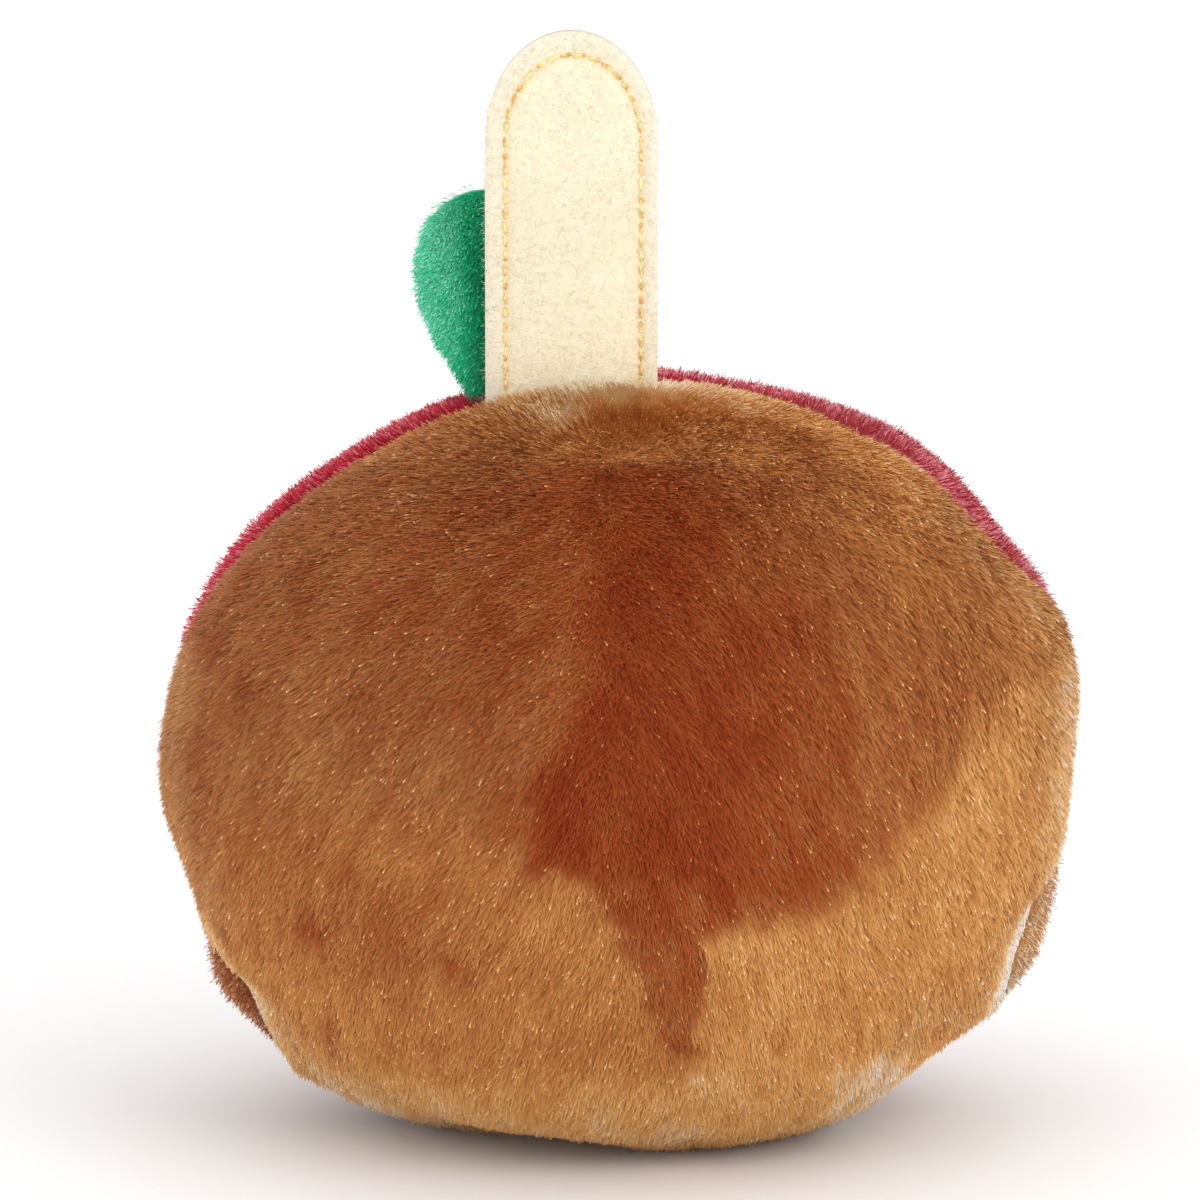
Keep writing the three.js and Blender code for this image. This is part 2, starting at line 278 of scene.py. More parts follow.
def skin_point(polar, longitude, sink=0.0):
    """A point of the ball's surface."""
    ring = ring_of(polar)
    east = np.sin(np.radians(longitude)) * ring
    north = -np.cos(np.radians(longitude)) * ring
    up = level_of(polar)
    across = HALF_WIDTH * ring
    free = across / (across + POLE_EASE)
    left, right, centre, drip = seam_distances(polar, longitude)
    distance = np.minimum.reduce([left, right, centre + CENTRE_SEAM_EASE, drip])
    pinch = PINCH * (1 - (1 - LOW_PINCH) * ease(polar, 96, 10))
    swell = CROWN * (1 - np.exp(-distance / CROWN_REACH)) - pinch * bell(distance, 0, PINCH_REACH)
    rise = up / MIDDLE
    # Long, low waves of the stuffing
    swell += 0.35 * np.sin(3.3 * east + 2.1 * rise + 0.6) * np.cos(2.7 * north - 1.3 * rise)
    swell += 0.25 * np.sin(5.2 * rise - 3.1 * east + 1.2)
    swell *= free
    for lump_longitude, lump_polar, reach, height in LUMPS:
        aside = turn_of(longitude - lump_longitude) * np.sin(np.radians(lump_polar))
        swell += height * bell(np.hypot(aside, polar - lump_polar), 0, reach)
    point = np.stack([HALF_WIDTH * east, HALF_DEPTH * north, up], -1)
    outward = unit(np.stack([east / HALF_WIDTH, north / HALF_DEPTH, up / RISE**2], -1))
    rumple = sum(high * noise(point, scale) for noise, (high, scale) in zip(NOISES, RUMPLES))
    point = point + outward * (swell + (rumple - sink) * free)[..., None]
    point[..., :2] += CENTRE
    point[..., 2] += SKEW * point[..., 0] * ease(point[..., 2], -36, 45) + MIDDLE
    z = point[..., 2]
    blended = np.maximum(z + FOOT_BLEND, 0) ** 2 / (4 * FOOT_BLEND)
    point[..., 2] = np.where(z < FOOT_BLEND, blended, z)
    return point


# ---- Meshes ----
def linked(name, data):
    """A new object in the scene."""
    item = bpy.data.objects.new(name, data)
    bpy.context.scene.collection.objects.link(item)
    return item


def new_object(name, points, corners, material, uv=None, normals=None):
    """A smooth triangle mesh from arrays of points in mm and corner indices."""
    mesh = bpy.data.meshes.new(name)
    mesh.vertices.add(len(points))
    mesh.vertices.foreach_set("co", (points * MM).astype(np.float32).ravel())
    mesh.loops.add(corners.size)
    mesh.loops.foreach_set("vertex_index", corners.astype(np.int32).ravel())
    mesh.polygons.add(len(corners))
    mesh.polygons.foreach_set("loop_start", np.arange(0, corners.size, 3, dtype=np.int32))
    mesh.update(calc_edges=True)
    mesh.polygons.foreach_set("use_smooth", np.ones(len(corners), bool))
    if uv is not None:
        layer = mesh.uv_layers.new(name=UV_LAYER)
        layer.uv.foreach_set("vector", uv[corners.ravel()].astype(np.float32).ravel())
    if normals is not None:
        custom = mesh.attributes.new("custom_normal", "FLOAT_VECTOR", "POINT")
        custom.data.foreach_set("vector", normals.astype(np.float32).ravel())
    mesh.materials.append(material)
    return linked(name, mesh)


def merged(points, corners, *extra):
    """Merges points at one place and drops the triangles that this closes up."""
    _, first, back = np.unique(points.round(5), axis=0, return_index=True, return_inverse=True)
    corners = back.ravel()[corners]
    a, b, c = corners.T
    whole = (a != b) & (b != c) & (c != a)
    return points[first], corners[whole], *[values[first] for values in extra]


def faces(*corners):
    """Triangles from their first, second and third corners, as arrays or single numbers."""
    return np.stack(np.broadcast_arrays(*corners), 1)


def grid_corners(rows, columns, start=0):
    """Triangles of a grid of points, (rows + 1) by (columns + 1)."""
    row, column = np.meshgrid(np.arange(rows), np.arange(columns), indexing="ij")
    a = start + (row * (columns + 1) + column).ravel()
    b, d = a + 1, a + columns + 1
    c = d + 1
    return np.concatenate([faces(a, d, c), faces(a, c, b)])


def graded(count):
    """0 to 1 in steps that are finer at both ends."""
    return (1 - np.cos(np.pi * np.arange(count + 1) / count)) / 2


class Patch:
    """A grid of points over a surface, with the normal and other fields at each."""

    def __init__(self, points, **fields):
        self.normal = unit(np.cross(np.gradient(points, axis=0), np.gradient(points, axis=1)))
        self.points = points
        self.fields = SimpleNamespace(point=points, **fields)

    def scatter(self, count, kept=None):
        """Places spread evenly over the patch, with its fields at each, and their number."""
        p = self.points
        size = np.linalg.norm(np.cross(p[1:, :-1] - p[:-1, :-1], p[:-1, 1:] - p[:-1, :-1]), axis=-1)
        edges = np.cumsum(size.ravel())
        cell = np.searchsorted(edges, random.random(count) * edges[-1])
        row, column = np.divmod(np.minimum(cell, size.size - 1), size.shape[1])
        s, t = random.random((2, count))

        def mixed(grid):
            a, b = grid[row, column], grid[row, column + 1]
            c, d = grid[row + 1, column], grid[row + 1, column + 1]
            u, v = (s, t) if grid.ndim == 2 else (s[:, None], t[:, None])
            return (a * (1 - u) + b * u) * (1 - v) + (c * (1 - u) + d * u) * v

        mixes = {name: mixed(grid) for name, grid in vars(self.fields).items()}
        at = SimpleNamespace(**mixes, normal=unit(mixed(self.normal)))
        if kept is not None:
            chosen = kept(at)
            at = SimpleNamespace(**{name: values[chosen] for name, values in vars(at).items()})
        return at, len(at.point)


SEAM_POLAR = np.linspace(45, 150, 300)
GROUND_TONES = (0.01, 0.99)  # UVs stay inside these
PILE_TONES = (0.004, 0.996)


def seen_gap(points, line):
    """How far points are from a line as the camera sees both."""
    across, up = seen(points)
    return np.hypot(across[..., None] - line[0], up[..., None] - line[1]).min(-1)


class Panel(Patch):
    """One pile panel of the ball."""

    def __init__(self, rows, columns, from_row, to_row, place, sink):
        steps = np.linspace(from_row, to_row, rows + 1)
        row, share = np.meshgrid(steps, graded(columns), indexing="ij")
        self.polar, longitude = place(row, share)
        left, right, *_ = seam_distances(self.polar, longitude)
        points = skin_point(self.polar, longitude, sink)
        seams = [seen(skin_point(SEAM_POLAR, seam(SEAM_POLAR))) for seam in (left_seam, right_seam)]
        super().__init__(
            points,
            polar=self.polar,
            longitude=longitude,
            to_side=np.minimum(left, right),
            beside=np.minimum(*(seen_gap(points, seam) for seam in seams)),
        )

    def closed(self, tone):
        """The panel with two side walls, a floor and a ceiling, down to the ball's axis."""
        rows, columns = (n - 1 for n in self.points.shape[:2])
        spine = np.zeros((rows + 1, 3))
        spine[:, 2] = np.maximum(MIDDLE + level_of(self.polar[:, 0]), 0)
        for end in (0, -1):
            if self.polar[end, 0] in (0.0, 180.0):
                spine[end] = self.points[end, 0]
        count = len(spine)
        outer = count + np.arange((rows + 1) * (columns + 1)).reshape(rows + 1, -1)
        up, low = np.arange(rows), np.arange(1, rows + 1)
        first, last = outer[:, 0], outer[:, -1]
        parts = [
            grid_corners(rows, columns, count),
            faces(up, first[low], first[up]),
            faces(up, low, first[low]),
            faces(up, last[up], last[low]),
            faces(up, last[low], low),
            faces(0, outer[0, :-1], outer[0, 1:]),
            faces(rows, outer[-1, 1:], outer[-1, :-1]),
        ]
        points = np.concatenate([spine, self.points.reshape(-1, 3)])
        uv = np.full((len(points), 2), shade_place(PLAIN, GROUND))
        uv[count:, 0] = np.clip(tone.ravel(), *GROUND_TONES)
        return merged(points, np.concatenate(parts), uv)


def above_floor(z):
    """Heights in mm, with what would reach below the floor pressed flat just above it."""
    room = FLOOR_EASE - FLOOR_GAP
    return np.where(z < FLOOR_EASE, FLOOR_GAP + room * np.exp((z - FLOOR_EASE) / room), z)


def shade_place(row, along):
    """V of a place along a fibre, in one of the rows of shades."""
    return (row + ROW_SHARE * along) / SHADE_ROWS


def pile(name, at, comb, length, lean, width, tone, slot, glint=0.0, row=PLAIN, bend=None, ruffle=0.1):
    """Fibres as narrow ribbons: one triangle each, or three if bend says how they curve.

    lean is the angle from the normal at the root, and bend what the tip adds, in degrees. glint
    is what the tip adds to the tone, a painted highlight where it is positive and painted shade
    where it is negative, and row the row of shades. Some fibres taper to the tip, and the others,
    with all that glint, to the root.
    """
    root, normal = at.point, at.normal
    count = len(root)
    glint = np.broadcast_to(glint, count)
    lean = np.radians(lean)[:, None]
    low = normal * np.cos(lean) + comb * np.sin(lean)
    roll = random.uniform(-ROLL, ROLL, (count, 1))
    flat = unit(np.cross(comb, normal))
    side = flat * np.cos(roll) + unit(np.cross(flat, low)) * np.sin(roll)
    half = width[:, None] * 0.5 * side
    blunt = ((random.random(count) < BLUNT_SHARE) | (glint != 0))[:, None]
    over = lean if bend is None else lean + np.radians(bend)[:, None]
    knee = root + low * length[:, None] * KNEE
    tip = knee + (normal * np.cos(over) + comb * np.sin(over)) * length[:, None] * (1 - KNEE)
    wide, narrow = np.where(blunt, tip, root), np.where(blunt, root, tip)
    at_wide = blunt.astype(float)
    if bend is None:
        points = np.stack([wide - half, wide + half, narrow], 1)
        pattern = np.array([[0, 1, 2]])
        along = np.concatenate([at_wide, at_wide, 1 - at_wide], 1)
    else:
        thin = half * KNEE_WIDTH
        points = np.stack([wide - half, wide + half, knee + thin, knee - thin, narrow], 1)
        pattern = np.array([[0, 1, 2], [0, 2, 3], [3, 2, 4]])
        middle = np.full((count, 1), KNEE)
        along = np.concatenate([at_wide, at_wide, middle, middle, 1 - at_wide], 1)
    points[..., 2] = above_floor(points[..., 2])
    face = unit(np.cross(points[:, 1] - points[:, 0], points[:, 2] - points[:, 0]))
    turned = np.sum(face * normal, 1) < 0
    corners = np.arange(count)[:, None, None] * along.shape[1] + pattern
    corners[turned] = corners[turned][:, :, ::-1]
    face[turned] *= -1
    shade = unit(normal + ruffle * random.normal(size=(count, 3)) + ruffle * face)
    normals = np.repeat(shade[:, None], along.shape[1], 1)
    shade_row = np.broadcast_to(row, count)[:, None]
    uv = np.stack([tone[:, None] + glint[:, None] * along**GLINT_POWER, shade_place(shade_row, along)], -1)
    piece = new_object(
        name,
        points.reshape(-1, 3),
        corners.reshape(-1, 3),
        FIBRES[slot],
        np.clip(uv, *PILE_TONES).reshape(-1, 2),
        normals.reshape(-1, 3),
    )
    add_piece(piece)


# ---- Materials ----
def set_inputs(node, **values):
    for socket, value in values.items():
        node.inputs[socket.replace("_", " ")].default_value = value


def new_material(name, **values):
    material = bpy.data.materials.new(name)
    material.use_nodes = True
    shader = material.node_tree.nodes["Principled BSDF"]
    set_inputs(shader, **values)
    return material, material.node_tree, shader


def linear(r, g, b):
    """Linear colour from sRGB numbers of 0 to 255."""
    c = np.array([r, g, b]) / 255
    return (*np.where(c <= 0.04045, c / 12.92, ((c + 0.055) / 1.055) ** 2.4), 1.0)


def even_stops(*colours):
    """Stops of a ramp from 0 to 1, evenly spaced."""
    return [(index / (len(colours) - 1), linear(*colour)) for index, colour in enumerate(colours)]


def ramp(tree, source, stops):
    node = tree.nodes.new("ShaderNodeValToRGB")
    elements = node.color_ramp.elements
    while len(elements) < len(stops):
        elements.new(0.5)
    for element, (place, colour) in zip(elements, stops):
        element.position = place
        element.color = colour
    tree.links.new(source, node.inputs[0])
    return node.outputs[0]


def tone_and_shade(tree):
    """U and V of the layer that holds the tone and the shade."""
    uv = tree.nodes.new("ShaderNodeUVMap")
    uv.uv_map = UV_LAYER
    split = tree.nodes.new("ShaderNodeSeparateXYZ")
    tree.links.new(uv.outputs[0], split.inputs[0])
    return split.outputs[:2]


def noise_node(tree, scale, detail, distortion=0.0):
    place = tree.nodes.new("ShaderNodeTexCoord")
    pattern = tree.nodes.new("ShaderNodeTexNoise")
    set_inputs(pattern, Scale=scale, Detail=detail, Distortion=distortion)
    tree.links.new(place.outputs["Object"], pattern.inputs["Vector"])
    return pattern.outputs[0]


def add_bump(tree, shader, height, strength, distance):
    bump = tree.nodes.new("ShaderNodeBump")
    set_inputs(bump, Strength=strength, Distance=distance)
    tree.links.new(height, bump.inputs["Height"])
    tree.links.new(bump.outputs[0], shader.inputs["Normal"])


def multiplied(tree, first, second):
    mix = tree.nodes.new("ShaderNodeMix")
    mix.data_type = "RGBA"
    mix.blend_type = "MULTIPLY"
    set_inputs(mix, Factor=1.0)
    tree.links.new(first, mix.inputs["A"])
    tree.links.new(second, mix.inputs["B"])
    return mix.outputs["Result"]


def pile_material(name, tones, root, tints, roughness, sheen, sheen_tint, specular, ground=False):
    """Pile coloured by its tone (U), and by its row of shades and the place along the fibre (V): darker at
    the root, a painted shade of the pile around it.
    """
    material, tree, shader = new_material(
        name,
        Sheen_Weight=sheen,
        Sheen_Roughness=0.4,
        Sheen_Tint=sheen_tint,
        Specular_IOR_Level=specular,
        Roughness=roughness,
    )
    tone, shade = tone_and_shade(tree)
    colour = ramp(tree, tone, tones)
    shades = []
    for row, tint in enumerate(tints):
        for along, value in ((0.0, root), (ROOT_REACH, (1, 1, 1)), (1.0, (1, 1, 1))):
            shades.append((shade_place(row, along), (*np.multiply(value, tint), 1)))
    colour = multiplied(tree, colour, ramp(tree, shade, shades))
    if ground:
        mottle = noise_node(tree, 1500, 3)
        grey = ramp(tree, mottle, [(0.35, (0.7, 0.62, 0.55, 1)), (0.65, (1, 1, 1, 1))])
        colour = multiplied(tree, colour, grey)
        add_bump(tree, shader, mottle, 0.6, 0.0003)
    tree.links.new(colour, shader.inputs["Base Color"])
    return material


CARAMEL_TONES = even_stops(
    (156, 62, 27), (172, 84, 39), (188, 114, 62), (212, 144, 78), (236, 178, 106), (251, 222, 184)
)
RED_TONES = even_stops((190, 12, 40), (232, 36, 66), (255, 176, 184))
GREEN_TONES = even_stops((14, 126, 84), (20, 216, 152), (140, 246, 212))
# Fibres are darker at the root: painted shade of the pile around them
CARAMEL_ROOT_SHADE = (0.90, 0.80, 0.72)
OTHER_ROOT_SHADE = (0.75, 0.72, 0.72)
CARAMEL_TINTS = ((1, 1, 1), (0.88, 1.0, 1.15), (0.98, 1.3, 2.0))
PLAIN_TINTS = ((1, 1, 1),) * SHADE_ROWS

FINISHES = {  # tones, root, tints, roughness, sheen, tint of the sheen, specular
    "caramel_pile": (CARAMEL_TONES, CARAMEL_ROOT_SHADE, CARAMEL_TINTS, 0.6, 0.12, (1.0, 0.85, 0.68, 1), 0.06),
    "red_pile": (RED_TONES, OTHER_ROOT_SHADE, PLAIN_TINTS, 0.6, 0.15, (1.0, 0.6, 0.65, 1), 0.06),
    "green_pile": (GREEN_TONES, OTHER_ROOT_SHADE, PLAIN_TINTS, 0.4, 0.05, (0.7, 1.0, 0.92, 1), 0.2),
}
FIBRES = {slot: pile_material(slot, *finish) for slot, finish in FINISHES.items()}
GROUNDS = {
    slot: pile_material(slot.replace("pile", "ground"), *finish, ground=True)
    for slot, finish in FINISHES.items()
}


# ---- How the pile lies ----
# The dark patch where the pile stands up, darker partly as painted shade of looking into the
# pile: its left edge (up, across) and its lower edge (across, up), in mm as the camera sees them
PATCH_LEFT_UP = (-28, -23, -17, -9, 5, 23)
PATCH_LEFT_ACROSS = (-7.5, -8.0, -5.2, -1.5, -0.5, -0.2)
PATCH_LOW_ACROSS = (-12, -7, -2, 3, 13, 22, 30, 34.5, 38, 40, 44, 52)
PATCH_LOW_UP = (-27, -30, -31, -35, -38, -35.5, -31.5, -27.5, -22, -17, -11, -6)
TONGUE_UP = (-54, -50, -46, -42, -34)
TONGUE_ACROSS = (10.6, 9.4, 8.2, 7.4, 6.0)
TONGUE_HALF = (0.4, 1.5, 2.5, 3.8, 5.5)
BRUSH_MARKS = (  # across, up, half width, half height, turn, change of tone
    (-6, -35, 7, 5, 0, 0.12),
    (-20, -10, 16, 4.5, 4, -0.08),
    (-40, -18, 9, 10, 0, -0.07),
    (-29, -33, 9, 6, 0, -0.07),
    (-25, 10, 8, 5, 20, 0.10),
    (-27, -38, 13, 9, -10, -0.15),
    (-49, -9, 5, 9, 0, 0.06),
    (-42, -8, 1.6, 6, 30, -0.12),
    (-46, -16, 2.2, 3, 0, -0.10),
    (-39, -27, 5, 5, 0, -0.07),
    (-32.3, -38, 1.1, 4.5, 8, -0.22),
    (-31, -49.5, 1, 4.5, -5, -0.22),
    (-17, -41, 3.6, 0.9, 12, -0.16),
    (-24, -1, 9, 3, 10, -0.05),
    (-24.5, 8, 5, 2, 15, -0.05),
    (30, -47, 8, 3, 25, 0.03),
    (18, -35, 5, 3, 0, 0.18),
    (5, -34, 4, 3, 0, -0.13),
    (9, -46, 3, 3, 0, 0.06),
    (32, 11, 9, 7, 0, 0.06),
)
# Beside the low left side seam: a pale band, and the crease outside it, as across and up
PALE_BAND = (
    (-46.8, -44.5, -42.2, -40.5, -39.2, -38.1, -36.5),
    (-32.5, -34.4, -38.3, -42.1, -45.9, -48.8, -52.5),
)
CREASE = ((-44.9, -44.3, -43.0, -42.0), (-35.2, -37.3, -39.2, -41.1))


def brush_mark(across, up, x, y, wide, tall, turn):
    turn = np.radians(turn)
    right = (across - x) * np.cos(turn) + (up - y) * np.sin(turn)
    above = (up - y) * np.cos(turn) - (across - x) * np.sin(turn)
    return np.exp(-((right / wide) ** 2) - (above / tall) ** 2)


def back_tone(at):
    """0 is dark and reddish, where the pile stands up: partly painted shade of looking into the pile. 1 is
    light, where it lies flat: partly painted sheen.
    """
    point = at.point
    warp = 1.6 * swirl(point, 7.0) + 1.2 * swirl(point, 2.2)
    across, up = seen(point + warp)
    left = 0.20 + 0.10 * ease(-across, 8, 22) + 0.0035 * (18 - up) - 0.04 * ease(-across, 40, 8)
    # Lighter at the bottom: painted light from the floor
    left += 0.22 * ease(-up, 51, 8) + 0.05 * ease(-up, 4, 5)
    # Lighter towards the right edge: partly flatter pile, partly painted light from the key lamp's side
    right = 0.10 + 0.17 * ease(across, 10, 20) + 0.15 * ease(across, 24, 12)
    right += 0.14 * ease(across, 38, 14) + 0.17 * ease(up, 5, 14)
    right += 0.12 * ease(up, -10, 15) * ease(across, 6, 10)
    # Below the patch, lighter still at the bottom and the bottom right: painted light from the floor
    low = 0.68 + 0.10 * ease(-up, 49, 8) + 0.20 * ease(-up, 49, 6) * ease(across, 22, 10)
    low = np.minimum(low, 0.9)
    in_left = ease((across - np.interp(up, PATCH_LEFT_UP, PATCH_LEFT_ACROSS)) / 6.5 + 0.5)
    blur = 2.6 + 5.0 * ease(across, 12, 22)
    above = ease((up - np.interp(across, PATCH_LOW_ACROSS, PATCH_LOW_UP)) / blur + 0.5)
    middle = np.interp(up, TONGUE_UP, TONGUE_ACROSS)
    outside = np.where(across < middle, left + 0.06, low)
    tone = left * (1 - in_left) + right * in_left
    tone = outside * (1 - above) + tone * above
    inside = np.interp(up, TONGUE_UP, TONGUE_HALF) - np.abs(across - middle)
    tongue = ease(inside / 1.6 + 0.5) * ease(up, -54, 4) * (up < -30)
    tone = tone * (1 - tongue) + (0.28 - 0.004 * (up + 40)) * tongue
    for *place, change in BRUSH_MARKS:
        tone += change * brush_mark(across, up, *place)
    # Lighter at the top and in the tuft against the stick: painted light shining through the pile
    tone += 0.28 * ease(up, 12, 8) + 0.26 * ease(up, 19.5, 3)
    tone += 0.16 * bell(across, 1, 9) * ease(up, 14, 3) + 0.22 * bell(across, 2, 6) * ease(up, 19, 3)
    tone -= 0.15 * bell(across, 21, 9) * ease(up, 11, 3)
    # Paler near the outline, more on the right: painted rim light
    side = flank(at)
    tone += side * np.where(across > 0, 0.18, 0.10) * ease(-up, 2, 8) * (1 - 0.5 * ease(-up, 44, 6))
    tone += 0.10 * bell(at.to_side, 0, 4.0) * (at.polar < 98)
    # Pale on the rolled edges: a painted sheen, paler on the right as painted light from the lamp's side
    tone += rolled_edge(at) * (np.where(across > 0, 0.95, 0.88) - tone) * 0.9 + 0.25 * edge_crease(at)
    tone += 0.05 * NOISES[3](point, 8.0) + 0.04 * NOISES[2](point, 3.0)
    hidden = ease(point[..., 1], 12, 12)
    return tone * (1 - hidden) + 0.45 * hidden


def flank(at):
    """1 near the left and right outline as the camera sees it."""
    return ease(np.abs(np.sin(np.radians(at.longitude))), 0.91, 0.08)


def drawn(at, line, reach):
    """1 on a line that is given as the camera sees it, on the left half."""
    steps = np.linspace(0, len(line[0]) - 1, 12 * len(line[0]))
    dense = [np.interp(steps, np.arange(len(line[0])), values) for values in line]
    return bell(seen_gap(at.point, dense), 0, reach) * (at.point[..., 0] < 0)


def edge_crease(at):
    """1 in the crease near the left edge, just above the strip of the front."""
    return drawn(at, CREASE, 0.45)


def rolled_edge(at):
    """1 at the back's edge of the low side seams, where the pile is short and lies flat."""
    left = at.point[..., 0] < 0
    band = bell(at.beside, 0.3, np.where(left, 0.8, 1.4)) * ease(-at.to_side, -14, 7)
    band *= ease(at.polar, np.where(left, 100, 103), 6)
    band *= ease(-at.polar, -np.where(left, 131, 126), 5)
    pale = drawn(at, PALE_BAND, 1.0) * ease(-at.to_side, -18, 9)
    return np.maximum(band, pale) * (1 - 0.85 * edge_crease(at))


def pale_sheen_edge(at):
    """1 beside the rolled edge, where the pile is paler and greyer: a painted sheen."""
    near = bell(at.beside, 0, 4.2) * ease(-at.to_side, -20, 12)
    return near * ease(at.polar, 93, 9) * ease(-at.polar, -134, 10)


def shade_rows(at):
    """The row of shades of each fibre: browner at the top and left; paler and greyer at the rolled edges,
    beside them and near the outline, a painted sheen.
    """
    across, up = seen(at.point)
    painted_sheen = np.maximum(0.95 * rolled_edge(at), 0.6 * pale_sheen_edge(at) * (1 - edge_crease(at)))
    rim = bell(at.beside, 0, 2.0) * ease(at.polar, 40, 10)
    painted_sheen = np.maximum(painted_sheen, 0.35 * rim)
    brown = 0.6 * ease(-across, 3, 8) * ease(up, -30, 12) * ease(-up, -18, 3)
    draw = random.random(len(up))
    return np.where(draw < painted_sheen, PALE_GREY, np.where(draw < painted_sheen + (1 - painted_sheen) * brown, BROWN, PLAIN))


def front_strip(at):
    """1 beside the low side seams, where the front bulges past the back's outline."""
    return bell(at.to_side, 0, 7.0) * ease(at.polar, 98, 12)


def front_tone(at):
    tone = 0.42 + 0.08 * NOISES[3](at.point, 9.0) + 0.05 * NOISES[2](at.point, 3.0)
    left = at.point[..., 0] < 0
    return tone + np.where(left, -0.22, 0.26) * front_strip(at)


def right_rim(at):
    """1 at the right edge of the red, which is paler: painted light through the fibres at the edge."""
    return bell(at.to_side, 0, 13.0) * ease(at.point[..., 0], 0, 20)


def red_tone(at):
    tone = 0.44 + 0.12 * NOISES[3](at.point, 9.0) + 0.06 * NOISES[2](at.point, 3.0)
    return tone + 0.24 * right_rim(at)


SEAM_CROSSING = 4.0  # degrees past the centre seam that fibres cross over
SEAM_PARTING = 3.0
STREAK_REACH = 2.2
TRIM_GAP = 0.2


def laid(comb, normal):
    """Directions turned to lie along the surface."""
    return unit(comb - normal * np.sum(comb * normal, 1)[:, None])


def comb_of(at, clump, stray):
    """The way the pile is brushed: down, and outwards from the centre seam."""
    normal = at.normal
    down = unit(normal * normal[:, 2:] - np.array([0.0, 0.0, 1.0]))
    east = np.cross(normal, down)
    turned = turn_of(at.longitude - centre_seam(at.polar))
    crossing = SEAM_CROSSING * random.normal(size=len(turned))
    aside = np.abs(turned)
    outward = np.where(
        aside < 90, np.tanh((turned + crossing) / SEAM_PARTING), np.sin(np.radians(turned))
    )
    z = at.point[:, 2]
    high = ease(z, 38, 20)
    left = 26 + 16 * high * bell(aside, 0, 28)
    right = 20 + high * (26 - np.minimum(aside, 60))
    angle = np.radians(np.where(turned > 0, right, left) * ease(z, -4, 12))
    comb = east * (np.sin(angle) * outward)[:, None] + down * np.cos(angle)[:, None]
    comb += 0.22 * swirl(at.point, 7.0) + clump * swirl(at.point, 1.2)
    return laid(comb + stray * random.normal(size=comb.shape), normal)


def streak_of(at, comb):
    """Noise drawn out along the comb, about -0.5 to 0.5."""
    steps = np.linspace(-STREAK_REACH, STREAK_REACH, 7)
    return np.mean([NOISES[2](at.point + step * comb, 0.7) for step in steps], axis=0)


def outside_trim(at):
    """True where a root is clear of the stick and of the leaf."""
    x, y, z = at.point.T
    in_stick = np.abs(x - STICK_X) < STICK_WIDTH / 2 + TRIM_GAP
    in_stick &= np.abs(y) < STICK_MIDDLE / 2 + TRIM_GAP
    in_leaf = np.hypot((x - LEAF_BASE[0] - 0.1) / 4.2, (y - LEAF_BASE[1] - 0.4) / 1.8) < 1
    return ~((z > STICK_BOTTOM) & (in_stick | in_leaf))


# ---- Panels ----
def back_place(seam_a, seam_b):
    return lambda polar, share: (polar, seam_a(polar) * (1 - share) + seam_b(polar) * share)


def front_place(row, share):
    """Row 0 to 1 is the red top down to the drip edge, 1 to 2 the caramel below it."""
    drip = drip_polar(share)
    polar = np.where(row <= 1, drip * row, drip + (180 - drip) * (row - 1))
    right = right_seam(polar)
    return polar, right + (left_seam(polar) + 360 - right) * share


BACK_GRID = (150, 76, 0, 180)  # rows, columns, first and last row
RED_GRID = (54, 110, 0, 1)
FRONT_GRID = (72, 110, 1, 2)
PANELS = {
    "caramel_back_left": Panel(*BACK_GRID, back_place(left_seam, centre_seam), CARAMEL_SINK),
    "caramel_back_right": Panel(*BACK_GRID, back_place(centre_seam, right_seam), CARAMEL_SINK),
    "apple_front": Panel(*RED_GRID, front_place, RED_SINK),
    "caramel_front": Panel(*FRONT_GRID, front_place, CARAMEL_SINK),
}


def add_piece(piece, node=None):
    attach(piece, "root")
    if node:
        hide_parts(node)


def add_ground(node, tone_of, slot):
    panel = PANELS[node]
    points, corners, uv = panel.closed(tone_of(panel.fields))
    piece = new_object(node + "_ground", points, corners, GROUNDS[slot], uv)
    add_piece(piece, node)


def glints(width, light_share, dark_share):
    """What the tips add to the tone, and the widths: some are stouter, lighter at the tip as a painted
    highlight, and others darker as painted shade.
    """
    draw = random.random(len(width))
    light, dark = draw < light_share, draw > 1 - dark_share
    return 0.34 * light - 0.24 * dark, width * (1 + 0.8 * light + 0.5 * dark)


def grow_back(node):
    at, count = PANELS[node].scatter(BACK_COUNT, outside_trim)
    tone = back_tone(at)
    comb = comb_of(at, 0.14, 0.14)
    tuft = NOISES[3](at.point, 0.9)
    streak = streak_of(at, comb)
    rolled = rolled_edge(at)
    top = top_tuft(at)
    lean = 57 + 9 * np.clip(tone, 0, 1) + 5 * random.normal(size=count) + 5 * tuft + 16 * streak
    lean -= 14 * flank(at) * random.random(count)
    lean = np.minimum(lean + (70 - lean) * rolled, 80) * (1 - 0.6 * top)
    beside_red = bell(at.to_side, 0, 2.5) * ease(-at.polar, -96, 10)
    length = BACK_LENGTH * (1 + 0.12 * random.normal(size=count)) * (1 - 0.4 * rolled)
    length *= 1 + 0.5 * beside_red * NOISES[1](at.point, 3.0)
    width = random.uniform(0.07, 0.11, count)
    shown = tone + 0.012 * random.normal(size=count) + 0.02 * tuft + 0.3 * streak
    # Pale tips in the tuft against the stick and beside the red: painted highlights
    glint = np.where(random.random(count) < 0.3 * top + 0.3 * beside_red, 0.3, 0.0)
    rows = shade_rows(at)
    pile(node + "_pile", at, comb, length, lean, width, shown, "caramel_pile", glint, rows)


def top_tuft(at):
    """1 where the pile stands up against the stick."""
    x, _, z = at.point.T
    return ease(z, 80, 4) * bell(x, STICK_X, 11.0)


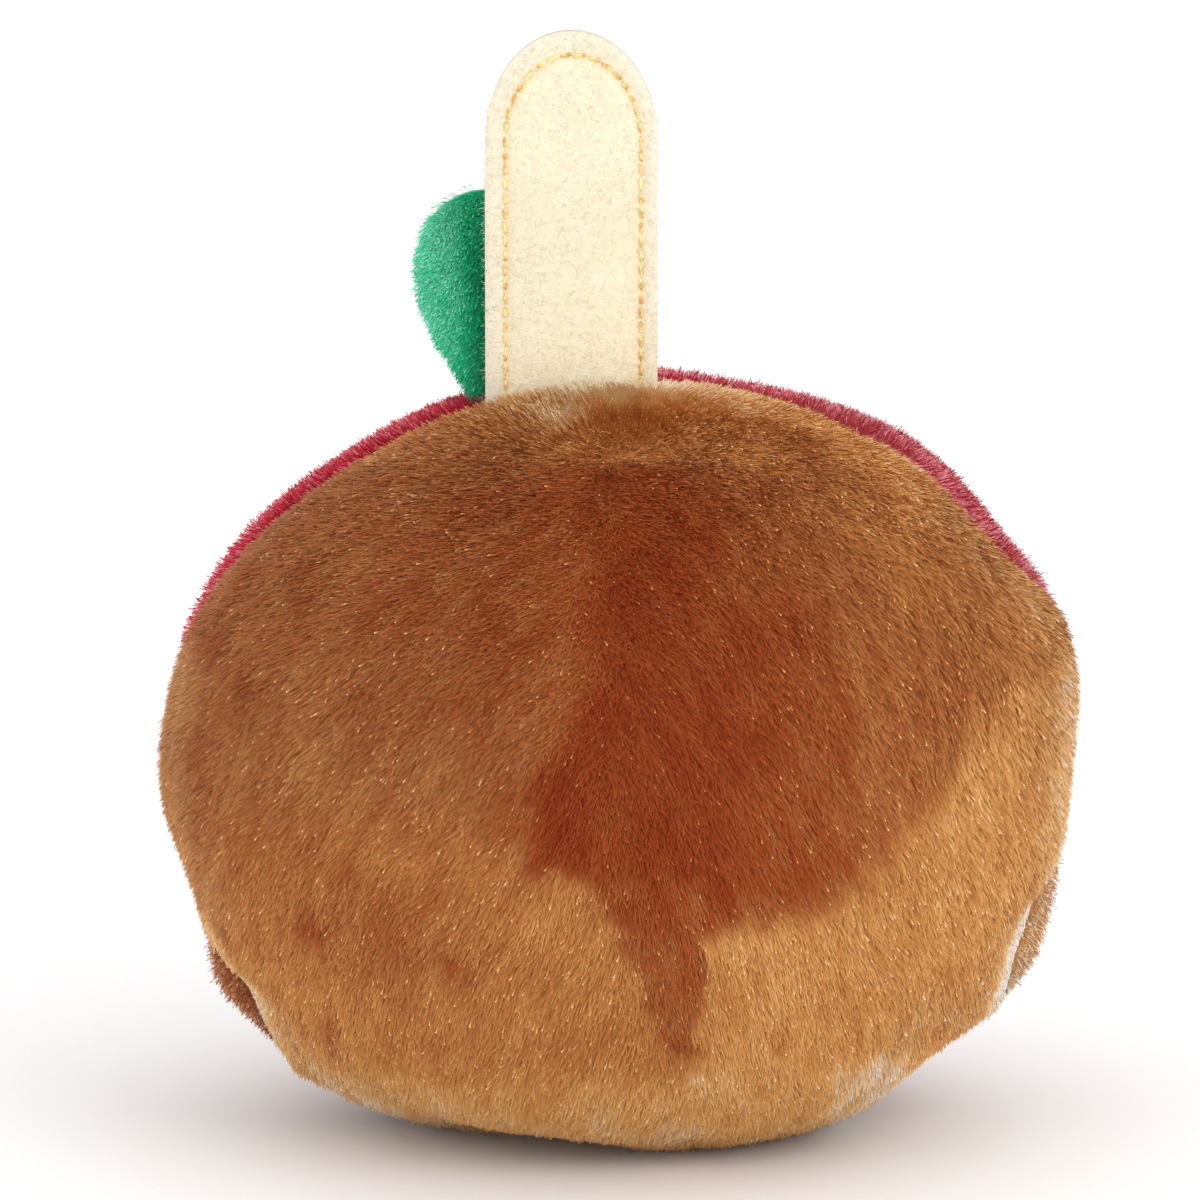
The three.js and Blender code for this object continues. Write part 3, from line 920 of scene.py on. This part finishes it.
def grow_glints(node):
    """Stouter fibres of the back that curl out of the pile, with light tips, a painted highlight, and dark
    tips, painted shade.
    """
    at, count = PANELS[node].scatter(
        GLINT_COUNT, lambda at: outside_trim(at) & (random.random(len(at.point)) > rolled_edge(at))
    )
    tone = back_tone(at)
    light = random.random(count) < 0.16 + 0.2 * ease(tone, 0.15, 0.2)
    glint = np.where(light, 0.15 + 0.6 * random.random(count) ** 1.5, -0.25)
    lean = 50 + 9 * np.clip(tone, 0, 1) + 7 * random.normal(size=count)
    length = random.uniform(1.4, 1.9, count)
    width = random.uniform(0.11, 0.17, count)
    bend = random.uniform(8, 32, count)
    comb = comb_of(at, 0.2, 0.2)
    rows = shade_rows(at)
    pile(node + "_glints", at, comb, length, lean, width, tone, "caramel_pile", glint, rows, bend)


def grow_front_caramel():
    at, count = PANELS["caramel_front"].scatter(FRONT_COUNT)
    strip = front_strip(at)
    tuft = NOISES[3](at.point, 1.0)
    lean = (52 - 30 * strip) + (6 + 6 * strip) * random.normal(size=count) + 8 * tuft
    length = (FRONT_LENGTH - 0.7 * strip) * (1 + 0.15 * random.normal(size=count))
    width = random.uniform(0.08, 0.13, count) * (1 - 0.25 * strip)
    shown = front_tone(at) + 0.03 * random.normal(size=count) + 0.04 * tuft
    glint, width = glints(width, 0.03, 0.04)
    tipped = random.random(count) < 0.2 * strip
    glint = np.where(tipped, 0.55, glint)
    comb = comb_of(at, 0.2 + 0.5 * strip[:, None], 0.2)
    rows = np.where(tipped, PALE_GREY, PLAIN)
    pile("caramel_front_pile", at, comb, length, lean, width, shown, "caramel_pile", glint, rows)


def grow_curls():
    """Short curly fibres with pale tips, where the front bulges past the low side seams."""
    at, count = PANELS["caramel_front"].scatter(
        CURL_PLACES, lambda at: random.random(len(at.point)) < front_strip(at) * 0.9
    )
    lean = random.uniform(5, 45, count)
    length = random.uniform(1.1, 1.6, count)
    width = random.uniform(0.07, 0.11, count)
    bend = random.uniform(50, 110, count)
    glint = np.where(random.random(count) < 0.7, random.uniform(0.35, 0.7, count), -0.1)
    rows = np.where(random.random(count) < 0.6, PALE_GREY, PLAIN)
    comb = comb_of(at, 0.7, 0.6)
    tone = front_tone(at)
    pile("caramel_front_curls", at, comb, length, lean, width, tone, "caramel_pile", glint, rows, bend)


def grow_red():
    at, count = PANELS["apple_front"].scatter(RED_COUNT, outside_trim)
    tuft = NOISES[3](at.point, 1.0)
    lean = 22 + 9 * random.normal(size=count) + 8 * tuft
    length = RED_LENGTH * (1 + 0.13 * random.normal(size=count))
    width = random.uniform(0.08, 0.13, count)
    shown = red_tone(at) + 0.05 * random.normal(size=count) + 0.06 * tuft
    # Pale pink tips, painted highlights, more at the right edge
    share = 0.18 + 0.45 * right_rim(at)
    glint = np.where(random.random(count) < share, 0.45, 0.0)
    comb = comb_of(at, 0.3, 0.25)
    pile("apple_front_pile", at, comb, length, lean, width, shown, "red_pile", glint)


BACKS = ("caramel_back_left", "caramel_back_right")
for back in BACKS:
    add_ground(back, back_tone, "caramel_pile")
add_ground("caramel_front", front_tone, "caramel_pile")
add_ground("apple_front", red_tone, "red_pile")
for back in BACKS:
    grow_back(back)
grow_front_caramel()
grow_curls()
grow_red()
for back in BACKS:
    grow_glints(back)


# ---- Flat pieces ----
def slab(rows, columns, centre_at, half_width_at, half_thickness_at):
    """The back (-Y) and the front (+Y) face of a flat piece, as grids of points."""
    steps = 2 * graded(columns) - 1
    half_width = half_width_at(rows)
    row, step = np.meshgrid(rows, steps, indexing="ij")
    aside = step * half_width[:, None]
    middle = centre_at(row, aside)
    offset = np.zeros_like(middle)
    offset[..., 1] = half_thickness_at(row, aside, np.maximum(half_width, 1e-6)[:, None])
    return middle - offset, middle + offset


def slab_mesh(back, front, groove=0.0):
    """Both faces and the rim, which is drawn in by groove half-way between them."""
    rows, columns = back.shape[0] - 1, back.shape[1] - 1
    count = back.shape[0] * back.shape[1]
    grid = np.arange(count).reshape(rows + 1, columns + 1)
    rim = np.concatenate([grid[:-1, 0], grid[-1, :-1], grid[:0:-1, -1], grid[0, :0:-1]])
    points = np.concatenate([back.reshape(-1, 3), front.reshape(-1, 3)])
    halfway = (points[rim] + points[rim + count]) / 2
    along = np.roll(halfway, -1, 0) - np.roll(halfway, 1, 0)
    inward = unit(np.cross(along, (0.0, 1.0, 0.0)))
    inward *= np.sign(np.sum(inward * (halfway.mean(0) - halfway), 1))[:, None]
    points = np.concatenate([points, halfway + groove * inward])
    between = 2 * count + np.arange(len(rim))
    parts = [grid_corners(rows, columns)[:, ::-1], grid_corners(rows, columns, count)]
    for a, b in ((rim, between), (between, rim + count)):
        after_a, after_b = np.roll(a, -1), np.roll(b, -1)
        parts += [faces(a, after_a, after_b), faces(a, after_b, b)]
    return merged(points, np.concatenate(parts))


# ---- Stick ----
def stick_cap(row):
    return np.maximum(row - 1, 0) * np.pi / 2


def stick_half_width(row):
    return STICK_WIDTH / 2 * np.cos(stick_cap(row))


def stick_centre(row, aside):
    straight = STICK_TOP - STICK_CAP - STICK_BOTTOM
    z = STICK_BOTTOM + straight * np.minimum(row, 1) + STICK_CAP * np.sin(stick_cap(row))
    return np.stack([STICK_X + aside, np.zeros_like(z), z], -1)


def stick_inset(aside, z):
    """How far inside the stick's outline a place is."""
    past = np.maximum(0, z - (STICK_TOP - STICK_CAP)) / STICK_CAP
    return np.maximum(0, 1 - np.hypot(2 * aside / STICK_WIDTH, past)) * STICK_WIDTH / 2


def stick_half_thickness(row, aside, _):
    place = stick_centre(row, aside)
    z = place[..., 2]
    inset = stick_inset(aside, z)
    to_stitches = stick_inset(aside - STITCH_SHIFT, z) - STITCH_INSET
    puff = (STICK_MIDDLE - STICK_EDGE) * ease(inset, 1, 5)
    felt = 0.05 * NOISES[0](place, 2.2) + 0.03 * NOISES[1](place, 0.9)
    round_edge = 0.3 * (1 - ease(inset, 0, 0.5))
    crease = 0.12 * bell(aside, 0.3, 0.35) * ease(z, 121, 3)
    dip = STITCH_DIP * bell(to_stitches, 0, 0.6) + crease
    return (STICK_EDGE + puff) / 2 - dip + felt - round_edge


def felt_tone(points):
    """0 is shed brown fibre, 0.2 the greyer rim, painted shade of its rounding, 0.5 the middle, and 1 warm
    as beside the stitches.
    """
    aside, z = points[..., 0] - STICK_X, points[..., 2]
    to_stitches = stick_inset(aside - STITCH_SHIFT, z) - STITCH_INSET
    tone = 0.22 + 0.28 * ease(to_stitches, -0.5, 1.2) + 0.32 * bell(to_stitches, 0, 0.6)
    return tone + 0.03 * NOISES[3](points, 3.0) + 0.03 * NOISES[2](points, 1.0)


FELT_TONES = [
    (0.0, linear(128, 92, 58)),
    (0.1, linear(236, 228, 208)),
    (0.5, linear(240, 231, 204)),
    (1.0, linear(243, 222, 176)),
]


def felt_material():
    material, tree, shader = new_material(
        "cream_felt", Roughness=0.95, Specular_IOR_Level=0.15, Sheen_Weight=0.15, Sheen_Roughness=0.6
    )
    colour = ramp(tree, tone_and_shade(tree)[0], FELT_TONES)
    mottle = noise_node(tree, 160, 5)
    grey = ramp(tree, mottle, [(0.3, (0.955, 0.95, 0.94, 1)), (0.7, (1, 1, 1, 1))])
    tree.links.new(multiplied(tree, colour, grey), shader.inputs["Base Color"])
    fibres = noise_node(tree, 1400, 4, 2.0)
    add_bump(tree, shader, fibres, 0.6, 0.00025)
    return material


def thread_material():
    material, tree, shader = new_material(
        "golden_thread", Roughness=0.38, Specular_IOR_Level=0.5, Sheen_Weight=0.1
    )
    # Golden thread with pale yellow patches at random: painted highlights
    highlight_mottle = noise_node(tree, 1100, 2)
    colour = ramp(tree, highlight_mottle, [(0.38, linear(214, 164, 82)), (0.62, linear(252, 234, 168))])
    tree.links.new(colour, shader.inputs["Base Color"])
    return material


FIBRES["cream_felt"] = felt_material()
thread = thread_material()
stick_rows = np.concatenate([np.linspace(0, 1, 60)[:-1], 1 + np.linspace(0, 1, 40)])
stick_back, stick_front = slab(stick_rows, 50, stick_centre, stick_half_width, stick_half_thickness)
stick_points, stick_corners = slab_mesh(stick_back, stick_front, groove=0.3)
stick_uv = np.stack([felt_tone(stick_points), np.full(len(stick_points), 0.5)], 1)
stick_piece = new_object("felt_stick", stick_points, stick_corners, FIBRES["cream_felt"], stick_uv)
add_piece(stick_piece, "stick")


def face_places(face, outward, count):
    """Places on one face of a flat piece, above where it is sewn in, and their number."""
    patch = Patch(face)
    patch.normal = patch.normal * outward
    return patch.scatter(count, lambda at: at.point[:, 2] > SEWN_BELOW)


def grow_felt_fuzz(face, name, outward):
    """The felt's own fine fibres, lying every way, and a few brown ones caught at the left edge."""
    at, count = face_places(face, outward, FUZZ_COUNT)
    comb = laid(random.normal(size=(count, 3)), at.normal)
    x, _, z = at.point.T
    rim = 1 - ease(stick_inset(x - STICK_X, z), 0, 0.6)
    lean = 80 - 30 * rim + 8 * random.normal(size=count)
    length = random.uniform(0.35, 0.9, count)
    width = random.uniform(0.03, 0.05, count)
    shown = felt_tone(at.point) + random.uniform(-0.06, 0.06, count)
    shed = np.argsort(x + 0.02 * np.abs(z - 99) + random.random(count))
    shown[shed[:SHED_COUNT]] = 0.02
    bend = random.uniform(-12, 12, count)
    pile(name, at, comb, length, lean, width, shown, "cream_felt", bend=bend, ruffle=0.2)


grow_felt_fuzz(stick_back, "stick_back_fuzz", -1)
grow_felt_fuzz(stick_front, "stick_front_fuzz", 1)

STITCH_PITCH = 1.62
STITCH_LENGTH = 1.46
STITCH_RISE = 0.12  # its middle stands out of the groove, and its ends dive in
STITCH_DIVE = 0.16
STITCH_SLANT = 0.14
PLY_RADIUS = 0.145
PLY_OFFSET = 0.11
PLY_TURNS = 1.1
PLY_RINGS = 11
PLY_SIDES = 6


def stitch_line():
    """Points of the topstitching, up the left side, round the cap and down the right side."""
    reach = 1 - STITCH_INSET / (STICK_WIDTH / 2)
    shoulder = STICK_TOP - STICK_CAP
    turn = np.linspace(np.pi, 0, 200)
    cap = np.stack([STICK_WIDTH / 2 * np.cos(turn), STICK_CAP * np.sin(turn)], 1) * reach
    cap[:, 1] += shoulder
    rising = np.linspace(SEWN_BELOW, shoulder, 120)[:-1]
    left = np.stack([np.full(len(rising), cap[0, 0]), rising], 1)
    right = np.stack([np.full(len(rising), cap[-1, 0]), rising[::-1]], 1)
    return np.concatenate([left, cap, right])


def ply_mesh(centre, face, start):
    """A closed round tube along centre, and its corners numbered from start."""
    share = np.linspace(-1, 1, PLY_RINGS)
    radius = PLY_RADIUS * np.sqrt(np.clip(1 - share**6, 0.02, 1))
    tangent = unit(np.gradient(centre, axis=0))
    side = unit(np.cross(tangent, (0.0, face, 0.0)))
    outer = np.cross(side, tangent)
    around = np.linspace(0, 2 * np.pi, PLY_SIDES, endpoint=False)[:, None]
    ring = side[:, None] * np.cos(around) + outer[:, None] * np.sin(around)
    points = centre[:, None] + ring * radius[:, None, None]
    points = np.concatenate([points.reshape(-1, 3), centre[[0, -1]]])
    row, column = np.meshgrid(np.arange(PLY_RINGS - 1), np.arange(PLY_SIDES), indexing="ij")
    a = (row * PLY_SIDES + column).ravel()
    b = (row * PLY_SIDES + (column + 1) % PLY_SIDES).ravel()
    low = np.arange(PLY_SIDES)
    after = (low + 1) % PLY_SIDES
    top = (PLY_RINGS - 1) * PLY_SIDES
    corners = [
        faces(a, b + PLY_SIDES, b),
        faces(a, a + PLY_SIDES, b + PLY_SIDES),
        faces(len(points) - 2, low, after),
        faces(len(points) - 1, after + top, low + top),
    ]
    return points, start + np.concatenate(corners)


def stitch_plies():
    """The centre line of each ply of each stitch, and the face of the stick that it lies on."""
    line = stitch_line()
    steps = np.linalg.norm(np.diff(line, axis=0), axis=1)
    travelled = np.concatenate([[0], np.cumsum(steps)])
    face_at = (STICK_EDGE + (STICK_MIDDLE - STICK_EDGE) * ease(STITCH_INSET, 1, 5)) / 2 - STITCH_DIP
    count = int(travelled[-1] // STITCH_PITCH)
    share = np.linspace(-0.5, 0.5, PLY_RINGS)
    for face in (-1, 1):
        for index in range(count):
            middle = (index + 0.5) * travelled[-1] / count + random.uniform(-0.05, 0.05)
            s = middle + share * STITCH_LENGTH * random.uniform(0.94, 1.05)
            x, z = (np.interp(s, travelled, line[:, k]) for k in (0, 1))
            ahead = unit(np.stack([np.gradient(x), np.gradient(z)], 1))
            depth = face_at + STITCH_RISE - STITCH_DIVE * (2 * share) ** 4
            phase = random.uniform(0, 2 * np.pi)
            for ply in (0, np.pi):
                turn = phase + ply + 2 * np.pi * PLY_TURNS * share
                across = PLY_OFFSET * np.cos(turn) + STITCH_SLANT * share
                ply_x = STICK_X + STITCH_SHIFT + x - ahead[:, 1] * across
                ply_y = face * (depth + PLY_OFFSET * np.sin(turn))
                yield np.stack([ply_x, ply_y, z + ahead[:, 0] * across], 1), face


def add_stitches():
    points, corners, start = [], [], 0
    for centre, face in stitch_plies():
        ply_points, ply_corners = ply_mesh(centre, face, start)
        points.append(ply_points)
        corners.append(ply_corners)
        start += len(ply_points)
    piece = new_object("stick_stitches", np.concatenate(points), np.concatenate(corners), thread)
    add_piece(piece)


add_stitches()


# ---- Leaf ----
def leaf_half_width(row):
    below = np.sin(np.pi / 2 * np.minimum(1, row / LEAF_FULLEST)) ** LEAF_NECK
    past = np.clip((row - LEAF_FULLEST) / (1 - LEAF_FULLEST), 0, 1)
    return LEAF_HALF_WIDTH * below * (1 - past**LEAF_TIP) ** (1 / LEAF_TIP)


def leaf_centre(row, aside):
    tilt = np.radians(LEAF_BACK_TILT)
    along = LEAF_LENGTH * row
    wave = LEAF_WAVE * np.sin(0.5 * aside + 3 * row)
    x = LEAF_BASE[0] + LEAF_LEAN * row + aside
    y = LEAF_BASE[1] + np.sin(tilt) * along + wave * row
    return np.stack([x, y, LEAF_BASE[2] + np.cos(tilt) * along], -1)


def leaf_half_thickness(row, aside, half_width):
    inside = np.sqrt(np.maximum(0, 1 - (aside / half_width) ** 2))
    lengthwise = np.sin(np.pi * row**0.8).clip(0) ** 0.6
    puffed = (LEAF_EDGE + (LEAF_PUFF - LEAF_EDGE) * inside * lengthwise) / 2
    return puffed - LEAF_SINK * inside * lengthwise


def leaf_tone(points):
    across, up = seen(points)
    # A painted highlight at the upper left, painted shade towards the stick, and darker towards the bottom
    tone = 0.55 + 0.2 * bell(np.hypot((across + 19.5) / 5, (up - 40) / 9), 0, 1)
    tone -= 0.35 * ease(across, -17.0, 4) + 0.12 * ease(-up, -30, 8)
    return tone + 0.10 * NOISES[3](points, 4.0) + 0.06 * NOISES[2](points, 1.5)


def grow_leaf(face, name, outward):
    at, count = face_places(face, outward, LEAF_COUNT)
    comb = LEAF_COMB + 0.25 * swirl(at.point, 3.0)
    comb = laid(comb + 0.2 * random.normal(size=(count, 3)), at.normal)
    tuft = NOISES[3](at.point, 0.9)
    lean = 42 + 9 * random.normal(size=count) + 8 * tuft
    length = LEAF_PILE * (1 + 0.15 * random.normal(size=count))
    width = random.uniform(0.07, 0.11, count)
    shown = leaf_tone(at.point) + 0.05 * random.normal(size=count) + 0.08 * tuft
    glint, width = glints(width, 0.08, 0.04)
    pile(name, at, comb, length, lean, width, shown, "green_pile", glint)


leaf_back, leaf_front = slab(graded(60), 40, leaf_centre, leaf_half_width, leaf_half_thickness)
leaf_points, leaf_corners = slab_mesh(leaf_back, leaf_front)
leaf_shade = np.full(len(leaf_points), shade_place(PLAIN, GROUND))
leaf_uv = np.stack([np.clip(leaf_tone(leaf_points), *GROUND_TONES), leaf_shade], 1)
leaf_piece = new_object("leaf_ground", leaf_points, leaf_corners, GROUNDS["green_pile"], leaf_uv)
add_piece(leaf_piece, "leaf")
grow_leaf(leaf_back, "leaf_back_pile", -1)
grow_leaf(leaf_front, "leaf_front_pile", 1)


# ---- Stage, light and camera ----
FLOOR_HALF = 4000.0
WORLD_LIGHT = 1.05


def add_floor():
    points = FLOOR_HALF * np.array([[-1, -1, 0], [1, -1, 0], [1, 1, 0], [-1, 1, 0]])
    material, _, _ = new_material(
        "floor", Base_Color=(1, 1, 1, 1), Roughness=0.9, Specular_IOR_Level=0.1
    )
    floor = new_object("floor", points, np.array([[0, 1, 2], [0, 2, 3]]), material)
    floor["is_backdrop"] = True


def aimed(name, data, place, direction):
    """A camera or a lamp at a place in mm, looking in a direction."""
    item = linked(name, data)
    item.location = place * MM
    item.rotation_euler = Vector(direction).to_track_quat("-Z", "Y").to_euler()
    return item


def add_camera():
    data = bpy.data.cameras.new("camera")
    data.sensor_width = SENSOR
    data.lens = SENSOR * CAMERA_DISTANCE / FRAME_MM
    data.clip_end = 20.0
    place = AIM + CAMERA_DISTANCE * TO_CAMERA
    bpy.context.scene.camera = aimed("camera", data, place, -TO_CAMERA)


def add_lamp(name, place, aim, size, power):
    data = bpy.data.lights.new(name, "AREA")
    data.shape = "DISK"
    data.size = size * MM
    data.energy = power
    aimed(name, data, place, aim - place)


def light_stage():
    scene = bpy.context.scene
    world = bpy.data.worlds.new("studio")
    world.use_nodes = True
    set_inputs(world.node_tree.nodes["Background"], Color=(1, 1, 1, 1), Strength=WORLD_LIGHT)
    scene.world = world
    scene.view_settings.view_transform = "Standard"
    middle = np.array([0, 0, 55])
    add_lamp("key", np.array([620, -700, 520]), middle, size=800, power=3.0)
    add_lamp("fill", np.array([-700, -620, 260]), middle, size=700, power=0.8)


add_floor()
add_camera()
light_stage()

visual_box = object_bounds()
boxes = {"cad": cad_box, "visual": visual_box}
{key: [[float(v) for v in corner] for corner in box] for key, box in boxes.items()}
